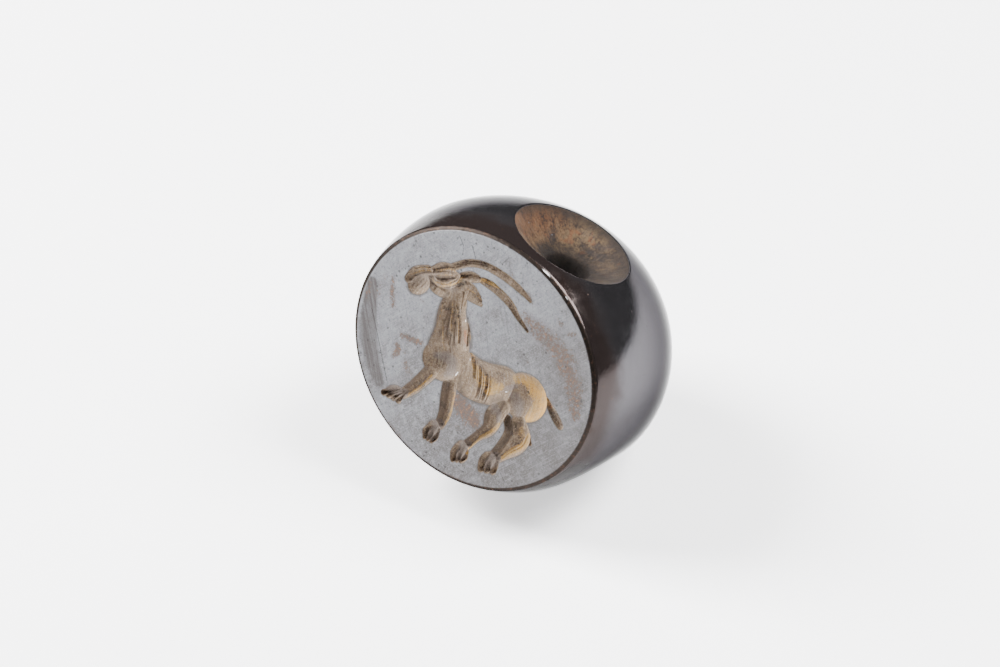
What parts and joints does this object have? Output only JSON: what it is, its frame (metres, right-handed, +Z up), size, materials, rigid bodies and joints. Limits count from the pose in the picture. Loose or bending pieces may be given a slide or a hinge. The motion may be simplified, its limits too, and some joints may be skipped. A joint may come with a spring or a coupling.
{
  "type": "stamp seal",
  "caption": "Dome-shaped stone stamp seal lying on its side, with a flat oval face carved with a standing ibex and a wide-mouthed bore for a cord.",
  "frame": {"origin": "middle of the underside of the seal's box as it lies on its dome", "axes": "+Z up, -Y towards the side that the sealing face looks to, +X to the right of someone who looks at the face"},
  "size_m": [0.019, 0.018, 0.0177],
  "materials": {
    "dark_stone": "polished dark iron-rich stone, satin grey on the sealing face, with ochre earth left in the carving and the bore's mouths"
  },
  "bodies": {
    "root": {"seal_stone": "dark_stone"}
  },
  "joints": []
}
